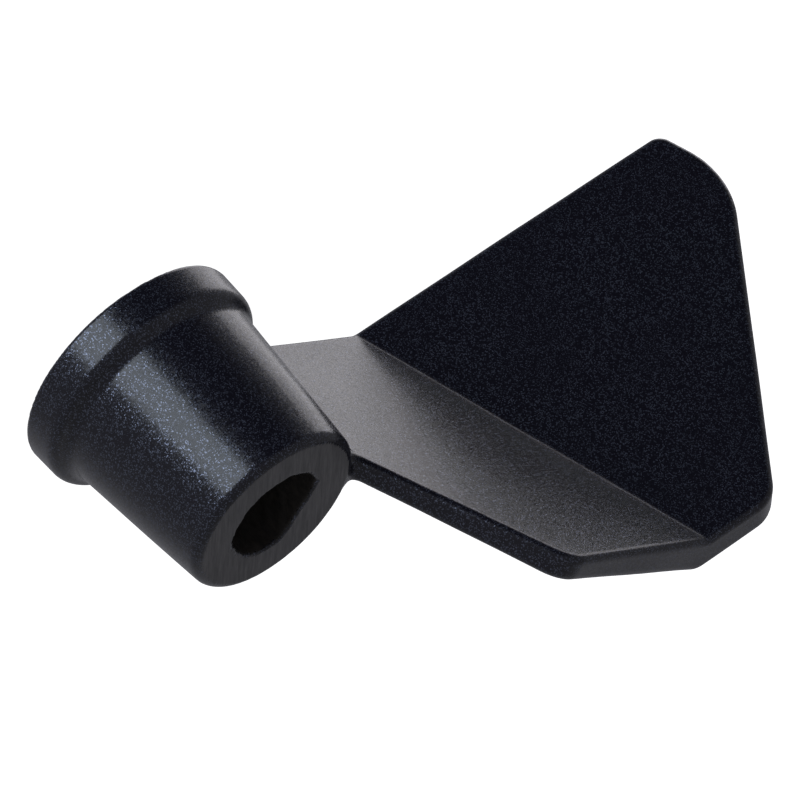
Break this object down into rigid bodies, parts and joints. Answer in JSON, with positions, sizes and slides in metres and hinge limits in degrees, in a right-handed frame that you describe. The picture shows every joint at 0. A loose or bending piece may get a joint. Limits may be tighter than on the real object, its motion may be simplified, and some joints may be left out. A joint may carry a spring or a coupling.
{
  "type": "bread machine kneading paddle",
  "caption": "Coated kneading paddle: a tapered hub with a flared skirt and a D-bore for a bread machine's drive shaft, and a folded blade with a leaning web and an upright fin.",
  "frame": {"origin": "middle of the paddle's bounding box at the plane that the skirt's rim stands on; the drive shaft's axis is at x = -21.785 mm, y = 4.166 mm", "axes": "+Z along the drive shaft's axis, from the skirt to the hub's narrow end, which is upwards in the pan; +X along the fin, from the hub to the tip; +Y to the side that the blade's hollow face looks at"},
  "size_m": [0.0625, 0.0273, 0.0326],
  "materials": {
    "hub_coating": "satin blue-black non-stick coating with fine metallic flecks over cast aluminium",
    "blade_coating": "satin blue-black non-stick coating with fine metallic flecks over cast aluminium"
  },
  "bodies": {
    "root": {"hub": "hub_coating", "blade": "blade_coating"}
  },
  "joints": []
}
